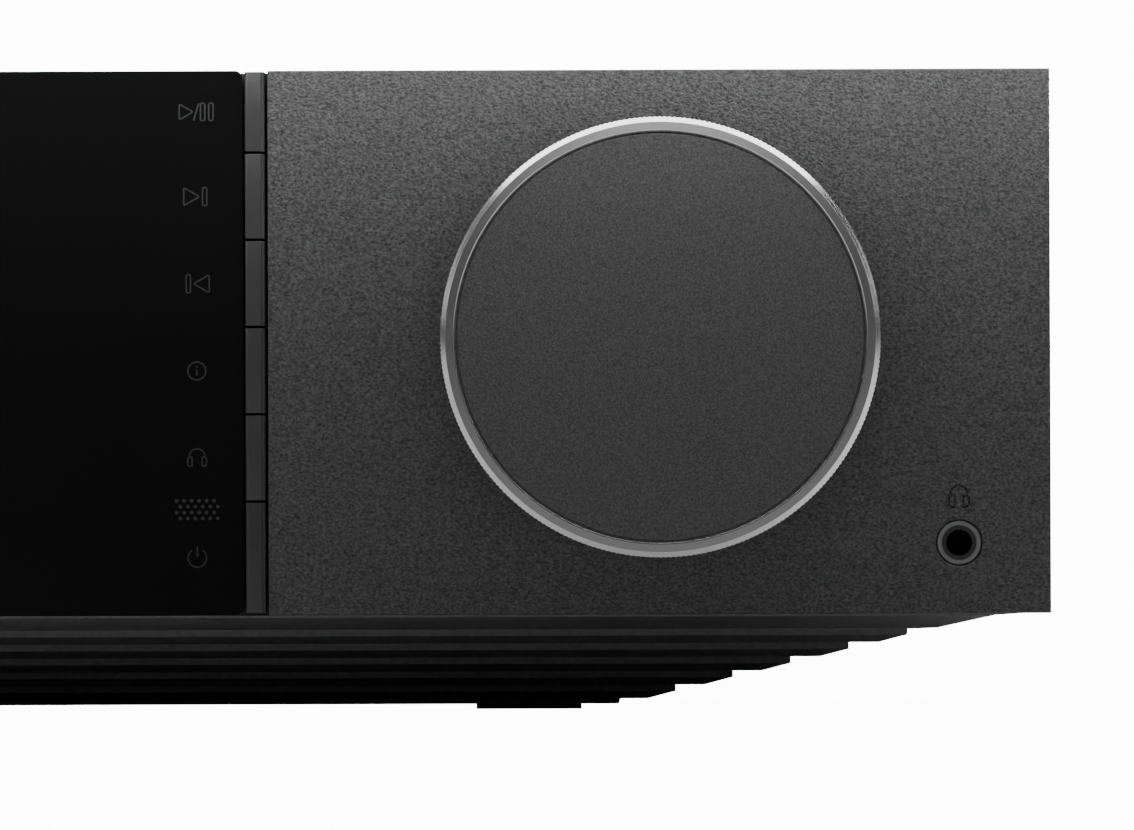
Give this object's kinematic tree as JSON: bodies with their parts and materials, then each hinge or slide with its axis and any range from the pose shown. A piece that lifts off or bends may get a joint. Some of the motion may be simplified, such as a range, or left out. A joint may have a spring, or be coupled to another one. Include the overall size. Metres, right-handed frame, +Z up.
{
  "type": "digital audio player",
  "caption": "Low wide desktop music player with a display glass, slim side keys, a large ringed volume knob, a headphone socket and a stepped plinth.",
  "frame": {"origin": "on the floor under the middle of the outline", "axes": "-Y out of the front, +X to the right seen from the front, +Z up"},
  "size_m": [0.317, 0.352, 0.089],
  "materials": {
    "plinth_black": "fine-textured black paint",
    "rubber_black": "matt",
    "steel_black": "powder coat",
    "cover_black": "fine powder coat",
    "side_black": "matt grooved",
    "fascia_grey": "grained satin",
    "display_glass": "black backed glass, polished",
    "screen_metal": "sheet",
    "plastic_black": "moulded",
    "steel_bare": "zinc plated",
    "board_green": "solder mask",
    "switch_metal": "tinned",
    "knob_silver": "bead blasted with cut edges",
    "knob_grey": "fine satin",
    "brass_plain": "machined",
    "ring_black": "satin black",
    "jack_grey": "dark nickel",
    "rear_black": "powder coat",
    "socket_metal": "tinned",
    "contact_gold": "gold plated",
    "rocker_black": "moulded",
    "sink_black": "black anodised",
    "button_black": "satin",
    "ribbon_grey": "flat cable",
    "cap_red": "moulded",
    "cap_black": "moulded"
  },
  "bodies": {
    "case": {"plinth": "plinth_black", "foot_pads": "rubber_black", "chassis_tray": "steel_black", "top_cover": "cover_black", "side_panel_left": "side_black", "side_panel_right": "side_black", "fascia_panel": "fascia_grey", "display_glass": "display_glass", "display_module": "screen_metal", "display_bezel": "plastic_black", "button_guide": "plastic_black", "front_subframe": "steel_bare", "button_board": "board_green", "button_switches": "switch_metal", "ring_sleeve": "plastic_black", "volume_encoder": "switch_metal", "control_board": "board_green", "headphone_jack": "plastic_black", "jack_collar": "jack_grey", "rear_panel": "rear_black", "ethernet_socket": "socket_metal", "usb_socket": "socket_metal", "hdmi_socket": "socket_metal", "optical_socket": "plastic_black", "rca_sockets": "contact_gold", "antenna_sockets": "contact_gold", "speaker_posts": "contact_gold", "terminal_plate": "plastic_black", "mains_inlet": "plastic_black", "rocker_frame": "plastic_black", "main_board": "board_green", "streaming_module": "socket_metal", "amplifier_module": "board_green", "heat_sink": "sink_black", "power_supply": "board_green", "board_standoffs": "brass_plain", "panel_magnets": "switch_metal", "front_ribbon": "ribbon_grey"},
    "volume_knob": {"knob_ring": "knob_silver", "knob_disc": "knob_grey", "knob_hub": "brass_plain", "volume_shaft": "steel_bare"},
    "source_control": {"source_ring": "ring_black"},
    "mains_rocker": {"power_rocker": "rocker_black"},
    "power_button": {"button_power": "button_black"},
    "output_button": {"button_output": "button_black"},
    "info_button": {"button_info": "button_black"},
    "previous_button": {"button_previous": "button_black"},
    "next_button": {"button_next": "button_black"},
    "play_button": {"button_play": "button_black"},
    "cap_1": {"terminal_cap_1": "cap_red"},
    "cap_2": {"terminal_cap_2": "cap_black"},
    "cap_3": {"terminal_cap_3": "cap_red"},
    "cap_4": {"terminal_cap_4": "cap_black"}
  },
  "joints": [
    {"name": "volume_turn", "type": "hinge", "parent": "case", "child": "volume_knob", "pos_m": [0.1044, -0.158, 0.0515], "axis": [0, 1, 0], "continuous": true},
    {"name": "source_turn", "type": "hinge", "parent": "case", "child": "source_control", "pos_m": [0.1044, -0.158, 0.0515], "axis": [0, 1, 0], "continuous": true},
    {"name": "mains_rock", "type": "hinge", "parent": "case", "child": "mains_rocker", "pos_m": [-0.09, 0.1535, 0.042], "axis": [1, 0, 0], "range_deg": [0, 18]},
    {"name": "power_press", "type": "slide", "parent": "case", "child": "power_button", "axis": [0, 1, 0], "range_m": [0, 0.0006], "stiffness_N_per_m": 1500, "springref_m": -0.0003},
    {"name": "output_press", "type": "slide", "parent": "case", "child": "output_button", "axis": [0, 1, 0], "range_m": [0, 0.0006], "stiffness_N_per_m": 1500, "springref_m": -0.0003},
    {"name": "info_press", "type": "slide", "parent": "case", "child": "info_button", "axis": [0, 1, 0], "range_m": [0, 0.0006], "stiffness_N_per_m": 1500, "springref_m": -0.0003},
    {"name": "previous_press", "type": "slide", "parent": "case", "child": "previous_button", "axis": [0, 1, 0], "range_m": [0, 0.0006], "stiffness_N_per_m": 1500, "springref_m": -0.0003},
    {"name": "next_press", "type": "slide", "parent": "case", "child": "next_button", "axis": [0, 1, 0], "range_m": [0, 0.0006], "stiffness_N_per_m": 1500, "springref_m": -0.0003},
    {"name": "play_press", "type": "slide", "parent": "case", "child": "play_button", "axis": [0, 1, 0], "range_m": [0, 0.0006], "stiffness_N_per_m": 1500, "springref_m": -0.0003},
    {"name": "cap_1_turn", "type": "hinge", "parent": "case", "child": "cap_1", "pos_m": [0.086, 0.156, 0.034], "axis": [0, 1, 0], "continuous": true},
    {"name": "cap_2_turn", "type": "hinge", "parent": "case", "child": "cap_2", "pos_m": [0.086, 0.156, 0.06], "axis": [0, 1, 0], "continuous": true},
    {"name": "cap_3_turn", "type": "hinge", "parent": "case", "child": "cap_3", "pos_m": [0.112, 0.156, 0.034], "axis": [0, 1, 0], "continuous": true},
    {"name": "cap_4_turn", "type": "hinge", "parent": "case", "child": "cap_4", "pos_m": [0.112, 0.156, 0.06], "axis": [0, 1, 0], "continuous": true}
  ]
}
